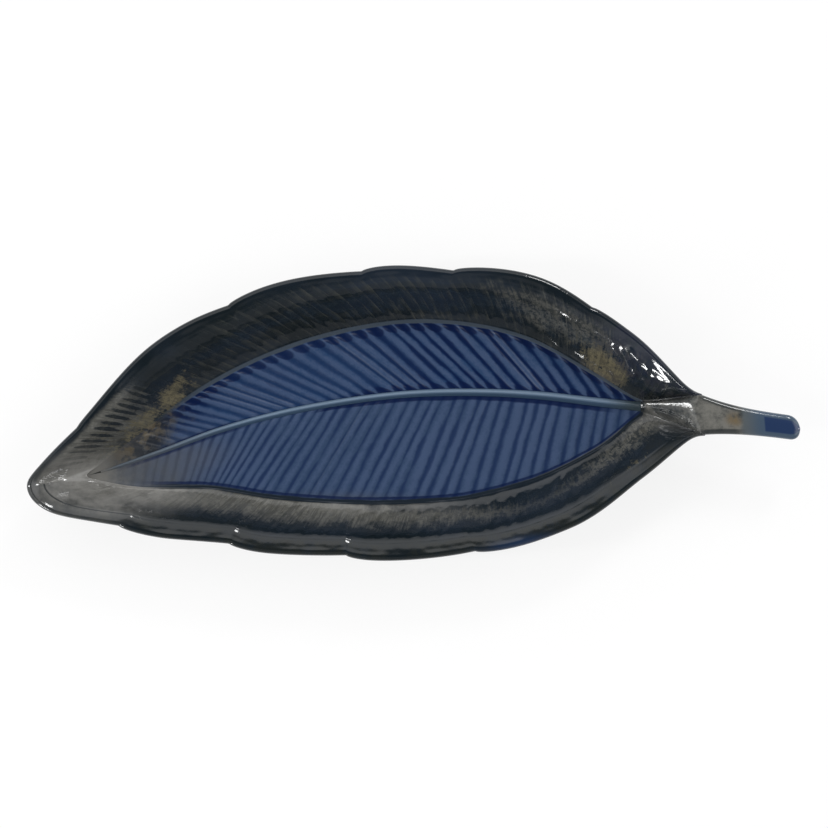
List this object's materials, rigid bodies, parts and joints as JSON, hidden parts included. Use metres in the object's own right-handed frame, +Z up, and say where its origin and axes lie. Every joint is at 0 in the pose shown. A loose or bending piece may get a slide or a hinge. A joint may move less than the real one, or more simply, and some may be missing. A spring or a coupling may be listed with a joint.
{
  "type": "leaf_shaped_plate",
  "caption": "Leaf shaped stoneware serving plate with a veined blue floor, a dark scalloped rim and a short stem handle.",
  "frame": {"origin": "Middle of the plate's length and width, on the table under the foot ring.", "axes": "+X along the leaf from its tip to the end of its stem, +Y across the leaf toward its far side, which is the upper side in the picture, +Z up from the table"},
  "size_m": [0.36, 0.1372, 0.0332],
  "materials": {
    "floor_glaze": "glossy deep blue glaze, milky on the ribs and dark where it pools",
    "rim_glaze": "glossy black brown glaze that breaks to ochre on raised edges",
    "stem_glaze": "glossy glaze running from brown at the blade to navy at the end",
    "bare_clay": "unglazed matt stoneware"
  },
  "bodies": {
    "root": {"well_floor": "floor_glaze", "midrib": "floor_glaze", "far_veins": "floor_glaze", "near_veins": "floor_glaze", "tip_wall": "rim_glaze", "far_wall": "rim_glaze", "near_wall": "rim_glaze", "far_lip": "rim_glaze", "near_lip": "rim_glaze", "stem": "stem_glaze", "foot_ring": "bare_clay"}
  },
  "joints": []
}
